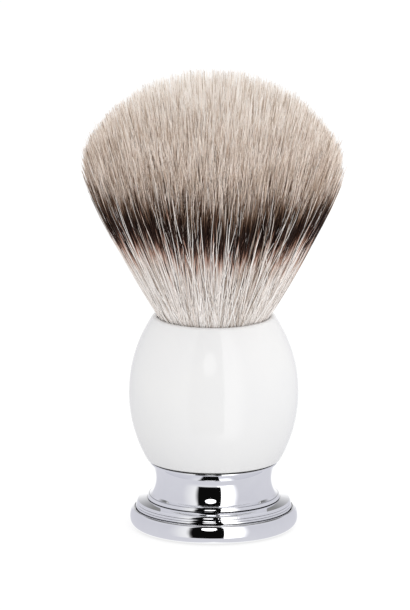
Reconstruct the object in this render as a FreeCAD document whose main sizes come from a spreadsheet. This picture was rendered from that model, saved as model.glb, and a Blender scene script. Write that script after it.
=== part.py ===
import FreeCAD, Part
import math
import os

import Sketcher

# A shaving brush that stands on its foot. Every piece is round about the Z axis.
# Millimetres, +Z up, origin at the centre of the foot pad's underside.

DOCUMENT_NAME = "ShavingBrush"
SHEET_NAME = "Dimensions"

# Alias, value, what it measures.
DIMENSIONS = [
    ("pad_radius", 14.8, "foot pad"),
    ("pad_thickness", 1.0, "foot pad"),
    ("pad_proud", 0.3, "how far the pad stands below the metal foot"),
    ("pad_edge_radius", 0.2, "rounding of the pad's lower edge"),
    ("pad_recess_radius", 15.0, "recess in the foot that takes the pad"),
    ("foot_height", 6.44, "underside of the metal foot to the collar's seat"),
    ("foot_flat_radius", 16.93, "outside of the flat rim under the foot"),
    ("bead_toe_curve", 1.94, "rounding of the bead's lower edge"),
    ("bead_toe_radius", 18.84, "where that rounding meets the bead's side"),
    ("bead_toe_height", 1.6, "height of that meeting"),
    ("bead_side_curve", 3.9, "bulge of the bead's side"),
    ("bead_crest_radius", 18.563, "where the bead's side meets its upper edge"),
    ("bead_crest_height", 3.87, "height of that meeting"),
    ("bead_shoulder_curve", 0.85, "rounding of the bead's upper edge"),
    ("bead_shoulder_radius", 17.786, "inside of the bead's upper edge"),
    ("bead_top_height", 4.37, "top of the bead"),
    ("bead_groove_radius", 17.3, "root of the groove behind the bead"),
    ("bead_groove_height", 4.15, "floor of that groove"),
    ("ridge_1_lower_radius", 17.52, "lower edge of the lowest fine ridge"),
    ("ridge_1_lower_height", 4.5, "height of that edge"),
    ("ridge_1_upper_radius", 17.4, "upper edge of the lowest fine ridge"),
    ("ridge_1_upper_height", 4.86, "height of that edge"),
    ("ridge_1_curve", 0.6, "rounding of the lowest fine ridge"),
    ("ridge_2_lower_radius", 17.44, "lower edge of the middle fine ridge"),
    ("ridge_2_lower_height", 4.96, "height of that edge"),
    ("ridge_2_upper_radius", 17.22, "upper edge of the middle fine ridge"),
    ("ridge_2_upper_height", 5.4, "height of that edge"),
    ("ridge_2_curve", 1.0, "rounding of the middle fine ridge"),
    ("ridge_3_lower_radius", 17.3, "lower edge of the highest fine ridge"),
    ("ridge_3_lower_height", 5.5, "height of that edge"),
    ("ridge_3_upper_radius", 17.0, "outside of the sloping ledge round the collar"),
    ("ridge_3_upper_height", 6.08, "height of that edge"),
    ("ridge_3_curve", 0.8, "rounding of the highest fine ridge"),
    ("seat_radius", 15.0, "flat seat that carries the collar"),
    ("ridge_groove_depth", 0.2, "depth of the grooves between the fine ridges"),
    ("screw_cavity_radius", 5.0, "cavity for the screw head under the foot"),
    ("screw_cavity_depth", 5.0, "underside of the foot to the cavity's roof"),
    ("screw_clearance_radius", 2.2, "clearance hole for the tie screw"),
    ("collar_height", 8.81, "collar without its spigot"),
    ("collar_toe_radius", 14.62, "where the collar touches the foot"),
    ("collar_toe_curve", 0.28, "rounding of the collar's lower edge"),
    ("collar_toe_height", 0.22, "height of that rounding"),
    ("collar_lip_radius", 14.845, "lower edge of the collar's lip"),
    ("collar_lip_curve", 1.4, "bulge of the collar's lip"),
    ("collar_lip_top_radius", 14.624, "upper edge of the collar's lip"),
    ("collar_lip_height", 0.86, "height of that edge"),
    ("collar_groove_radius", 14.4, "root of the groove above the lip"),
    ("collar_groove_top", 1.0, "top of that groove"),
    ("collar_hollow_height", 1.32, "where the collar's hollow curve starts"),
    ("collar_waist_radius", 13.0, "narrowest part of the collar"),
    ("collar_waist_height", 4.41, "height of the waist in the collar"),
    ("collar_curve_radius", 6.3, "hollow curve of the collar"),
    ("collar_rim_rounding", 0.35, "rounding of the collar's upper edge"),
    ("collar_bore_radius", 11.4, "hollow inside the collar"),
    ("collar_bore_depth", 6.96, "depth of that hollow, from below"),
    ("spigot_radius", 11.0, "ring on the collar that centres the handle"),
    ("spigot_wall", 1.5, "wall of that ring"),
    ("spigot_height", 3.0, "height of that ring"),
    ("ballast_radius", 11.35, "ballast slug in the collar"),
    ("ballast_height", 6.91, "ballast slug"),
    ("ballast_bore_radius", 2.6, "hole through the ballast slug"),
    ("ballast_chamfer", 0.5, "chamfer on the ballast slug"),
    ("gasket_thickness", 0.3, "gasket between collar and handle"),
    ("gasket_radius", 14.5, "outside of that gasket"),
    ("handle_height", 32.75, "porcelain handle"),
    ("belly_radius", 19.05, "widest part of the handle"),
    ("belly_height", 15.25, "height of the widest part in the handle"),
    ("belly_curve_radius", 31.1, "barrel curve of the handle"),
    ("handle_wall", 3.2, "wall of the handle at the belly"),
    ("handle_base_rounding", 0.5, "rounding of the handle's lower edge"),
    ("handle_bore_radius", 11.1, "hole in the handle's base"),
    ("handle_base_thickness", 3.2, "depth of that hole"),
    ("base_slope_height", 1.9, "height of the slope from that hole to the cavity"),
    ("mouth_radius", 12.5, "inside of the handle's mouth"),
    ("lip_outer_rounding", 0.9, "outer rounding of the mouth"),
    ("lip_inner_rounding", 0.4, "inner rounding of the mouth"),
    ("ledge_depth", 8.8, "mouth to the ledge that carries the socket"),
    ("ledge_radius", 11.6, "hole inside the ledge"),
    ("ledge_thickness", 2.6, "thickness of the ledge at its hole"),
    ("ledge_slope_height", 2.2, "height of the slope under the ledge"),
    ("seal_thickness", 0.4, "seal between ledge and socket"),
    ("seal_clearance", 0.1, "seal to the mouth's wall"),
    ("flange_clearance", 0.15, "socket flange to the mouth's wall"),
    ("flange_thickness", 2.0, "socket flange"),
    ("socket_radius", 11.45, "socket below its flange"),
    ("socket_bore_radius", 10.55, "inside of the socket"),
    ("socket_bore_depth", 10.4, "top of the flange to the socket's floor"),
    ("socket_floor", 2.0, "floor of the socket"),
    ("boss_radius", 5.6, "boss under the socket"),
    ("boss_height", 9.5, "boss under the socket"),
    ("boss_bore_depth", 8.4, "hole for the threaded insert"),
    ("rib_thickness", 1.4, "ribs between boss and floor"),
    ("rib_reach", 10.2, "how far the ribs reach from the axis"),
    ("rib_height", 5.0, "ribs between boss and floor"),
    ("insert_radius", 3.0, "threaded insert"),
    ("insert_height", 8.0, "threaded insert"),
    ("knurl_depth", 0.25, "grooves of the insert's knurl"),
    ("knurl_mouth", 1.0, "width of a groove's cutter where it leaves the insert"),
    ("thread_radius", 2.0, "tie screw and its thread"),
    ("screw_length", 25.0, "tie screw under its head"),
    ("screw_head_radius", 3.8, "tie screw's head"),
    ("screw_head_height", 2.2, "tie screw's head"),
    ("screw_crown_radius", 1.9, "flat crown of the head"),
    ("screw_crown_curve", 4.6, "dome of the head"),
    ("screw_rim_height", 0.4, "straight rim of the head"),
    ("screw_point_chamfer", 0.4, "chamfer at the screw's point"),
    ("hex_key_radius", 1.44, "hexagon recess, centre to corner"),
    ("hex_key_depth", 1.3, "hexagon recess"),
    ("washer_radius", 4.5, "flat washer"),
    ("washer_bore_radius", 2.15, "flat washer"),
    ("washer_thickness", 0.8, "flat washer"),
    ("spring_radius", 3.8, "spring washer"),
    ("spring_bore_radius", 2.1, "spring washer"),
    ("spring_thickness", 0.9, "spring washer, pressed flat"),
    ("spring_gap", 0.8, "split of the spring washer"),
    ("glue_thickness", 0.6, "glue bed under the knot"),
    ("ring_radius", 10.5, "knot ring"),
    ("ring_wall", 0.6, "knot ring"),
    ("ring_height", 11.35, "knot ring"),
    ("ring_edge_chamfer", 0.2, "chamfers of the knot ring"),
    ("plug_height", 4.0, "resin that holds the fibre roots"),
    ("plug_clearance", 0.05, "resin and fibres to the knot ring"),
    ("waist_radius", 9.0, "fibres under the binding"),
    ("waist_slope", 0.2, "height of the slope beside the binding"),
    ("waist_start", 0.6, "resin to the start of the bound stretch"),
    ("waist_height", 3.6, "bound stretch of the fibres"),
    ("twine_radius", 0.4, "binding twine"),
    ("twine_pitch", 0.95, "from one turn of the binding to the next"),
    ("twine_clearance", 0.03, "twine to the fibres"),
    ("knot_radius", 29.6, "widest part of the fibres"),
    ("knot_shoulder_radius", 13.5, "rounding of the knot's shoulder"),
    ("knot_dome_radius", 34.6, "dome of the fibre tips"),
    ("knot_loft", 55.2, "top of the handle to the highest tips"),
]

RIDGE_COUNT = 3
RIB_COUNT = 4
KNURL_COUNT = 20
TWINE_TURNS = 3
HEX_SIDES = 6


class Length:
    """A number of millimetres, together with the sheet expression that gives it."""

    def __init__(self, value, text):
        self.value = value
        self.text = text

    def joined(self, other, sign, value):
        return Length(value, f"({self.text} {sign} {text_of(other)})")

    def __add__(self, other):
        return self.joined(other, "+", self.value + value_of(other))

    def __sub__(self, other):
        return self.joined(other, "-", self.value - value_of(other))

    def __mul__(self, other):
        return self.joined(other, "*", self.value * value_of(other))

    def __truediv__(self, other):
        return self.joined(other, "/", self.value / value_of(other))


def value_of(item):
    return item.value if isinstance(item, Length) else item


def text_of(item):
    return item.text if isinstance(item, Length) else str(item)


def root_of_difference(longer, shorter):
    """The third side of a right triangle with this hypotenuse and this side."""
    value = math.sqrt(longer.value ** 2 - shorter.value ** 2)
    return Length(value, f"sqrt({longer.text} * {longer.text} - {shorter.text} * {shorter.text})")


class Arc:
    """A round edge of an outline. It turns left or right of the way the outline runs."""

    def __init__(self, radius, turn):
        self.radius = radius
        self.turn = turn


def fill_sheet(document):
    sheet = document.addObject("Spreadsheet::Sheet", SHEET_NAME)
    for row, (alias, value, meaning) in enumerate(DIMENSIONS, start=1):
        sheet.set(f"A{row}", alias)
        sheet.set(f"B{row}", str(value))
        sheet.set(f"C{row}", meaning)
        sheet.setAlias(f"B{row}", alias)
    document.recompute()
    return sheet


doc = FreeCAD.newDocument(DOCUMENT_NAME)
fill_sheet(doc)
size = {alias: Length(value, f"{SHEET_NAME}.{alias}") for alias, value, meaning in DIMENSIONS}


# Heights at which the pieces are stacked.

foot_level = size["pad_proud"]
collar_level = foot_level + size["foot_height"]
gasket_level = collar_level + size["collar_height"]
handle_level = gasket_level + size["gasket_thickness"]
mouth_level = handle_level + size["handle_height"]
ledge_level = mouth_level - size["ledge_depth"]
flange_level = ledge_level + size["seal_thickness"]
socket_floor_level = flange_level + size["flange_thickness"] - size["socket_bore_depth"]
boss_level = socket_floor_level - size["socket_floor"] - size["boss_height"]
ring_level = socket_floor_level + size["glue_thickness"]
fibre_level = ring_level + size["plug_height"]
binding_level = fibre_level + size["waist_start"] + size["waist_slope"]
washer_level = foot_level + size["screw_cavity_depth"] - size["washer_thickness"]
spring_level = washer_level - size["spring_thickness"]
screw_level = spring_level - size["screw_head_height"]


def new_body(name, level):
    """A body that stands at this level."""
    body = doc.addObject("PartDesign::Body", name)
    body.Label = name
    body.setExpression("Placement.Base.z", level.text)
    return body


def new_sketch(body, name, plane_role):
    sketch = body.newObject("Sketcher::SketchObject", name)
    planes = [item for item in body.Origin.OriginFeatures if item.Role == plane_role]
    sketch.AttachmentSupport = (planes[0], [""])
    sketch.MapMode = "FlatFace"
    return sketch


def bind(sketch, constraint, length):
    """Add a constraint and let the sheet set its size."""
    number = sketch.addConstraint(constraint)
    sketch.setExpression(f"Constraints[{number}]", length.text)


def place_point(sketch, geometry, end, across, up):
    """Fix one point of a sketch. A plain 0 puts it on that axis."""
    if across == 0:
        sketch.addConstraint(Sketcher.Constraint("PointOnObject", geometry, end, -2))
    else:
        bind(sketch, Sketcher.Constraint("DistanceX", -1, 1, geometry, end, across.value), across)
    if up == 0:
        sketch.addConstraint(Sketcher.Constraint("PointOnObject", geometry, end, -1))
    else:
        bind(sketch, Sketcher.Constraint("DistanceY", -1, 1, geometry, end, up.value), up)


def add_line(sketch, start, end):
    """Add a straight edge. Returns its number and which of its ends come first and last."""
    return sketch.addGeometry(Part.LineSegment(start, end), False), 1, 2


def add_arc(sketch, start, end, arc):
    """Add a round edge. Returns its number and which of its ends come first and last."""
    chord = end - start
    rise = math.sqrt(arc.radius.value ** 2 - chord.Length ** 2 / 4)
    left = FreeCAD.Vector(-chord.y, chord.x, 0).normalize()
    goes_left = arc.turn == "left"
    centre = start + chord / 2 + left * rise * (1 if goes_left else -1)
    first, last = (start, end) if goes_left else (end, start)
    angles = [math.atan2(point.y - centre.y, point.x - centre.x) for point in (first, last)]
    circle = Part.Circle(centre, FreeCAD.Vector(0, 0, 1), arc.radius.value)
    edge = sketch.addGeometry(Part.ArcOfCircle(circle, *angles), False)
    bind(sketch, Sketcher.Constraint("Radius", edge, arc.radius.value), arc.radius)
    return (edge, 1, 2) if goes_left else (edge, 2, 1)


def draw_outline(sketch, outline):
    """Close an outline of corners. An Arc between two corners makes that edge round."""
    corners = []
    arcs = {}
    for item in outline:
        if isinstance(item, Arc):
            arcs[len(corners) - 1] = item
        else:
            corners.append(item)
    points = [FreeCAD.Vector(value_of(across), value_of(up), 0) for across, up in corners]
    edges = []
    for index, start in enumerate(points):
        end = points[(index + 1) % len(points)]
        if index in arcs:
            edges.append(add_arc(sketch, start, end, arcs[index]))
        else:
            edges.append(add_line(sketch, start, end))
    for index, (edge, first, last) in enumerate(edges):
        next_edge, next_first, next_last = edges[(index + 1) % len(edges)]
        sketch.addConstraint(Sketcher.Constraint("Coincident", edge, last, next_edge, next_first))
    for (edge, first, last), (across, up) in zip(edges, corners):
        place_point(sketch, edge, first, across, up)


def turn(body, sketch):
    """Turn a sketch about the body's axis."""
    turned = body.newObject("PartDesign::Revolution", f"{body.Name}_turned")
    turned.Profile = sketch
    turned.ReferenceAxis = (sketch, ["V_Axis"])
    turned.Angle = 360
    doc.recompute()
    return turned


def turned_body(name, level, outline):
    """A body turned from one outline, whose corners are (radius, height)."""
    body = new_body(name, level)
    sketch = new_sketch(body, f"{name}_outline", "XZ_Plane")
    draw_outline(sketch, outline)
    turn(body, sketch)
    return body


def ring_outline(inner, outer, height, chamfer):
    """A ring of rectangular section with its outer corners cut off."""
    return [
        (inner, 0),
        (outer - chamfer, 0),
        (outer, chamfer),
        (outer, height - chamfer),
        (outer - chamfer, height),
        (inner, height),
    ]


def plain_ring_outline(inner, outer, height):
    return [(inner, 0), (outer, 0), (outer, height), (inner, height)]


def disc_outline(radius, height):
    return plain_ring_outline(0, radius, height)


def edges_at(body, radius, height):
    """Names of the circular edges of this radius at this height."""
    names = []
    for number, edge in enumerate(body.Tip.Shape.Edges, start=1):
        if not isinstance(edge.Curve, Part.Circle):
            continue
        near_radius = abs(edge.Curve.Radius - radius.value) < 1e-4
        if near_radius and abs(edge.Curve.Center.z - value_of(height)) < 1e-4:
            names.append(f"Edge{number}")
    return names


def round_edge(body, radius, height, rounding):
    """Fillet the circular edge of this radius at this height."""
    base = body.Tip
    names = edges_at(body, radius, height)
    if not names:
        raise ValueError(f"{body.Name} has no edge to round at radius {radius.value}")
    fillet = body.newObject("PartDesign::Fillet", f"{body.Name}_rounding")
    fillet.Base = (base, names)
    fillet.setExpression("Radius", rounding.text)
    body.Tip = fillet
    doc.recompute()


def pattern_round(body, feature, count):
    """Repeat a feature evenly about the body's axis."""
    pattern = body.newObject("PartDesign::PolarPattern", f"{feature.Name}_pattern")
    pattern.Originals = [feature]
    axes = [item for item in body.Origin.OriginFeatures if item.Role == "Z_Axis"]
    pattern.Axis = (axes[0], [""])
    pattern.Angle = 360
    pattern.Occurrences = count
    body.Tip = pattern
    doc.recompute()


def cut_pocket(body, sketch, depth):
    """Cut a sketch upwards out of the body, and make sure that it takes material away."""
    before = body.Shape.Volume
    pocket = body.newObject("PartDesign::Pocket", f"{sketch.Name}_pocket")
    pocket.Profile = sketch
    pocket.setExpression("Length", depth.text)
    pocket.Reversed = True
    doc.recompute()
    if body.Shape.Volume >= before:
        raise ValueError(f"{pocket.Name} cuts nothing")
    return pocket


# The foot.

def make_foot_pad():
    outline = disc_outline(size["pad_radius"], size["pad_thickness"])
    body = turned_body("foot_pad", foot_level - size["pad_proud"], outline)
    round_edge(body, size["pad_radius"], 0, size["pad_edge_radius"])
    return body


def make_foot_base():
    """The plated foot, with its bead, its fine ridges and the ledge for the collar."""
    outline = [
        (size["screw_clearance_radius"], size["screw_cavity_depth"]),
        (size["screw_cavity_radius"], size["screw_cavity_depth"]),
        (size["screw_cavity_radius"], size["pad_thickness"] - size["pad_proud"]),
        (size["pad_recess_radius"], size["pad_thickness"] - size["pad_proud"]),
        (size["pad_recess_radius"], 0),
        (size["foot_flat_radius"], 0),
        Arc(size["bead_toe_curve"], "left"),
        (size["bead_toe_radius"], size["bead_toe_height"]),
        Arc(size["bead_side_curve"], "left"),
        (size["bead_crest_radius"], size["bead_crest_height"]),
        Arc(size["bead_shoulder_curve"], "left"),
        (size["bead_shoulder_radius"], size["bead_top_height"]),
        (size["bead_shoulder_radius"], size["bead_groove_height"]),
    ]
    root = size["bead_groove_radius"]
    floor = size["bead_groove_height"]
    for number in range(1, RIDGE_COUNT + 1):
        top = size[f"ridge_{number}_upper_height"]
        outline += ridge_outline(number, root, floor, top)
        root = size[f"ridge_{number}_upper_radius"] - size["ridge_groove_depth"]
        floor = top
    outline.append((size["seat_radius"], size["foot_height"]))
    outline.append((size["screw_clearance_radius"], size["foot_height"]))
    return turned_body("foot_base", foot_level, outline)


def ridge_outline(number, root, floor, top):
    """One fine ridge, from the root and the floor of the groove below it to its own top."""
    lower = size[f"ridge_{number}_lower_height"]
    return [
        (root, floor),
        (root, lower),
        (size[f"ridge_{number}_lower_radius"], lower),
        Arc(size[f"ridge_{number}_curve"], "left"),
        (size[f"ridge_{number}_upper_radius"], top),
    ]


# The collar and its ballast.

def make_neck_collar():
    """The hollow-curved plated collar, with the spigot that centres the handle."""
    curve = size["collar_curve_radius"]
    axis = size["collar_waist_radius"] + curve
    top = size["collar_height"]
    above = top - size["collar_waist_height"]
    below = size["collar_waist_height"] - size["collar_hollow_height"]
    bore = size["screw_clearance_radius"]
    spigot_inner = size["spigot_radius"] - size["spigot_wall"]
    spigot_top = top + size["spigot_height"]
    rim = axis - root_of_difference(curve, above)
    outline = [
        (size["collar_bore_radius"], 0),
        (size["collar_toe_radius"], 0),
        Arc(size["collar_toe_curve"], "left"),
        (size["collar_lip_radius"], size["collar_toe_height"]),
        Arc(size["collar_lip_curve"], "left"),
        (size["collar_lip_top_radius"], size["collar_lip_height"]),
        (size["collar_groove_radius"], size["collar_lip_height"]),
        (size["collar_groove_radius"], size["collar_groove_top"]),
        (axis - root_of_difference(curve, below), size["collar_hollow_height"]),
        Arc(curve, "right"),
        (rim, top),
        (size["spigot_radius"], top),
        (size["spigot_radius"], spigot_top),
        (spigot_inner, spigot_top),
        (spigot_inner, top),
        (bore, top),
        (bore, size["collar_bore_depth"]),
        (size["collar_bore_radius"], size["collar_bore_depth"]),
    ]
    body = turned_body("neck_collar", collar_level, outline)
    round_edge(body, rim, top, size["collar_rim_rounding"])
    return body


def make_ballast_weight():
    outline = ring_outline(
        size["ballast_bore_radius"], size["ballast_radius"], size["ballast_height"], size["ballast_chamfer"])
    return turned_body("ballast_weight", collar_level, outline)


def make_body_gasket():
    outline = plain_ring_outline(size["handle_bore_radius"], size["gasket_radius"], size["gasket_thickness"])
    return turned_body("body_gasket", gasket_level, outline)


# The porcelain handle.

def make_handle_body():
    """A barrel, open at both ends, with a ledge below its mouth."""
    curve = size["belly_curve_radius"]
    inner_curve = curve - size["handle_wall"]
    centre = size["belly_radius"] - curve
    belly = size["belly_height"]
    top = size["handle_height"]
    ledge = top - size["ledge_depth"]
    cavity_top = ledge - size["ledge_thickness"] - size["ledge_slope_height"]
    cavity_base = size["handle_base_thickness"] + size["base_slope_height"]
    base_radius = centre + root_of_difference(curve, belly)
    lip_radius = centre + root_of_difference(curve, top - belly)
    outline = [
        (size["handle_bore_radius"], 0),
        (base_radius, 0),
        Arc(curve, "left"),
        (lip_radius, top),
        (size["mouth_radius"], top),
        (size["mouth_radius"], ledge),
        (size["ledge_radius"], ledge),
        (size["ledge_radius"], ledge - size["ledge_thickness"]),
        (centre + root_of_difference(inner_curve, cavity_top - belly), cavity_top),
        Arc(inner_curve, "right"),
        (centre + root_of_difference(inner_curve, belly - cavity_base), cavity_base),
        (size["handle_bore_radius"], size["handle_base_thickness"]),
    ]
    body = turned_body("handle_body", handle_level, outline)
    round_edge(body, base_radius, 0, size["handle_base_rounding"])
    round_edge(body, lip_radius, top, size["lip_outer_rounding"])
    round_edge(body, size["mouth_radius"], top, size["lip_inner_rounding"])
    return body


# The socket in the handle's mouth, and what holds the stack together.

def make_socket_seal():
    outer = size["mouth_radius"] - size["seal_clearance"]
    outline = plain_ring_outline(size["ledge_radius"], outer, size["seal_thickness"])
    return turned_body("socket_seal", ledge_level, outline)


def make_knot_socket():
    """A moulded cup with a flange, a ribbed boss below its floor and a hole for the insert."""
    floor_underside = size["boss_height"]
    floor_top = floor_underside + size["socket_floor"]
    top = floor_top + size["socket_bore_depth"]
    flange_underside = top - size["flange_thickness"]
    flange = size["mouth_radius"] - size["flange_clearance"]
    outline = [
        (0, size["boss_bore_depth"]),
        (size["insert_radius"], size["boss_bore_depth"]),
        (size["insert_radius"], 0),
        (size["boss_radius"], 0),
        (size["boss_radius"], floor_underside),
        (size["socket_radius"], floor_underside),
        (size["socket_radius"], flange_underside),
        (flange, flange_underside),
        (flange, top),
        (size["socket_bore_radius"], top),
        (size["socket_bore_radius"], floor_top),
        (0, floor_top),
    ]
    body = turned_body("knot_socket", boss_level, outline)
    add_socket_ribs(body, floor_underside)
    return body


def add_socket_ribs(body, floor_underside):
    """Three-cornered ribs from the boss to the socket's floor."""
    inner = size["insert_radius"] + size["boss_radius"]
    sketch = new_sketch(body, "knot_socket_rib_outline", "XZ_Plane")
    draw_outline(sketch, [
        (inner / 2, floor_underside - size["rib_height"]),
        (size["boss_radius"], floor_underside - size["rib_height"]),
        (size["rib_reach"], floor_underside),
        (inner / 2, floor_underside),
    ])
    rib = body.newObject("PartDesign::Pad", "knot_socket_rib")
    rib.Profile = sketch
    rib.Midplane = True
    rib.setExpression("Length", size["rib_thickness"].text)
    doc.recompute()
    pattern_round(body, rib, RIB_COUNT)


def make_threaded_insert():
    """A knurled insert; the tie screw's thread fills its bore."""
    height = size["insert_height"]
    outline = plain_ring_outline(size["thread_radius"], size["insert_radius"], height)
    body = turned_body("threaded_insert", boss_level, outline)
    sketch = new_sketch(body, "threaded_insert_groove", "XY_Plane")
    root = size["insert_radius"] - size["knurl_depth"]
    mouth = size["insert_radius"] + size["knurl_depth"]
    width = size["knurl_mouth"]
    corners = [FreeCAD.Vector(root.value, 0, 0)]
    corners += [FreeCAD.Vector(mouth.value, side * width.value / 2, 0) for side in (-1, 1)]
    for start, end in zip(corners, corners[1:] + corners[:1]):
        sketch.addGeometry(Part.LineSegment(start, end), False)
    for edge in range(len(corners)):
        next_edge = (edge + 1) % len(corners)
        sketch.addConstraint(Sketcher.Constraint("Coincident", edge, 2, next_edge, 1))
    place_point(sketch, 0, 1, root, 0)
    bind(sketch, Sketcher.Constraint("DistanceX", -1, 1, 1, 1, mouth.value), mouth)
    sketch.addConstraint(Sketcher.Constraint("Symmetric", 1, 1, 1, 2, -1))
    bind(sketch, Sketcher.Constraint("DistanceY", 1, 1, 1, 2, width.value), width)
    groove = cut_pocket(body, sketch, height)
    pattern_round(body, groove, KNURL_COUNT)
    return body


def make_tie_screw():
    """A button-head screw; its head faces down, so its point is up."""
    head = size["screw_head_radius"]
    under_head = size["screw_head_height"]
    shank = size["thread_radius"]
    point = under_head + size["screw_length"]
    chamfer = size["screw_point_chamfer"]
    outline = [
        (0, 0),
        (size["screw_crown_radius"], 0),
        Arc(size["screw_crown_curve"], "left"),
        (head, under_head - size["screw_rim_height"]),
        (head, under_head),
        (shank, under_head),
        (shank, point - chamfer),
        (shank - chamfer, point),
        (0, point),
    ]
    body = turned_body("tie_screw", screw_level, outline)
    sketch = new_sketch(body, "tie_screw_hexagon", "XY_Plane")
    draw_hexagon(sketch, size["hex_key_radius"])
    cut_pocket(body, sketch, size["hex_key_depth"])
    return body


def draw_hexagon(sketch, corner_radius):
    """A regular hexagon round the origin, with one corner on the X axis."""
    corners = []
    for index in range(HEX_SIDES):
        angle = 2 * math.pi * index / HEX_SIDES
        corners.append(FreeCAD.Vector(math.cos(angle), math.sin(angle), 0) * corner_radius.value)
    for start, end in zip(corners, corners[1:] + corners[:1]):
        sketch.addGeometry(Part.LineSegment(start, end), False)
    circle = Part.Circle(FreeCAD.Vector(0, 0, 0), FreeCAD.Vector(0, 0, 1), corner_radius.value)
    guide = sketch.addGeometry(circle, True)
    sketch.addConstraint(Sketcher.Constraint("Coincident", guide, 3, -1, 1))
    bind(sketch, Sketcher.Constraint("Radius", guide, corner_radius.value), corner_radius)
    sketch.addConstraint(Sketcher.Constraint("PointOnObject", 0, 1, -1))
    for index in range(HEX_SIDES):
        sketch.addConstraint(Sketcher.Constraint("Coincident", index, 2, (index + 1) % HEX_SIDES, 1))
        sketch.addConstraint(Sketcher.Constraint("PointOnObject", index, 1, guide))
    for index in range(1, HEX_SIDES):
        sketch.addConstraint(Sketcher.Constraint("Equal", 0, index))


def make_flat_washer():
    outline = plain_ring_outline(size["washer_bore_radius"], size["washer_radius"], size["washer_thickness"])
    return turned_body("flat_washer", washer_level, outline)


def make_spring_washer():
    """A split ring, pressed flat by the screw."""
    outline = plain_ring_outline(size["spring_bore_radius"], size["spring_radius"], size["spring_thickness"])
    body = turned_body("spring_washer", spring_level, outline)
    sketch = new_sketch(body, "spring_washer_split", "XZ_Plane")
    draw_outline(sketch, [
        (size["spring_bore_radius"] / 2, 0),
        (size["spring_radius"] + size["spring_gap"], 0),
        (size["spring_radius"] + size["spring_gap"], size["spring_thickness"]),
        (size["spring_bore_radius"] / 2, size["spring_thickness"]),
    ])
    split = body.newObject("PartDesign::Pocket", "spring_washer_cut")
    split.Profile = sketch
    split.Midplane = True
    split.setExpression("Length", size["spring_gap"].text)
    doc.recompute()
    return body


# The knot.

def make_knot_glue_bed():
    outline = disc_outline(size["ring_radius"], size["glue_thickness"])
    return turned_body("knot_glue_bed", socket_floor_level, outline)


def make_knot_ring():
    inner = size["ring_radius"] - size["ring_wall"]
    outline = ring_outline(inner, size["ring_radius"], size["ring_height"], size["ring_edge_chamfer"])
    return turned_body("knot_ring", ring_level, outline)


def root_radius():
    """The fibres and their resin, just inside the knot ring."""
    return size["ring_radius"] - size["ring_wall"] - size["plug_clearance"]


def make_resin_plug():
    return turned_body("resin_plug", ring_level, disc_outline(root_radius(), size["plug_height"]))


def make_root_binding():
    """The turns of twine round the fibre roots, each as a closed ring."""
    twine = size["twine_radius"]
    coil_radius = size["waist_radius"] + size["twine_clearance"] + twine
    margin = (size["waist_height"] - size["twine_pitch"] * (TWINE_TURNS - 1)) / 2
    turns = []
    for index in range(TWINE_TURNS):
        ring = doc.addObject("Part::Torus", f"twine_turn_{index + 1}")
        level = binding_level + margin + size["twine_pitch"] * index
        ring.setExpression("Radius1", coil_radius.text)
        ring.setExpression("Radius2", twine.text)
        ring.setExpression("Placement.Base.z", level.text)
        turns.append(ring)
    binding = doc.addObject("Part::Compound", "root_binding")
    binding.Label = "root_binding"
    binding.Links = turns
    doc.recompute()
    return binding


def make_fibre_bundle():
    """The whole knot of fibres: bound roots, straight flare, round shoulder and domed tips."""
    body = new_body("fibre_bundle", fibre_level)
    sketch = new_sketch(body, "fibre_bundle_outline", "XZ_Plane")
    roots = root_radius()
    slope = size["waist_slope"]
    waist_start = size["waist_start"]
    waist_end = waist_start + slope + size["waist_height"]
    ring_top = size["ring_height"] - size["plug_height"]
    corners = [
        (0, 0),
        (roots, 0),
        (roots, waist_start),
        (size["waist_radius"], waist_start + slope),
        (size["waist_radius"], waist_end),
        (roots, waist_end + slope),
        (roots, ring_top),
    ]
    points = [FreeCAD.Vector(value_of(across), value_of(up), 0) for across, up in corners]
    for start, end in zip(points, points[1:]):
        sketch.addGeometry(Part.LineSegment(start, end), False)
    for index, (across, up) in enumerate(corners[:-1]):
        place_point(sketch, index, 1, across, up)
    for index in range(1, len(corners) - 1):
        sketch.addConstraint(Sketcher.Constraint("Coincident", index - 1, 2, index, 1))
    last_line = len(corners) - 2
    place_point(sketch, last_line, 2, *corners[-1])
    add_knot_crown(sketch, last_line, points[-1])
    turn(body, sketch)
    return body


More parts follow.
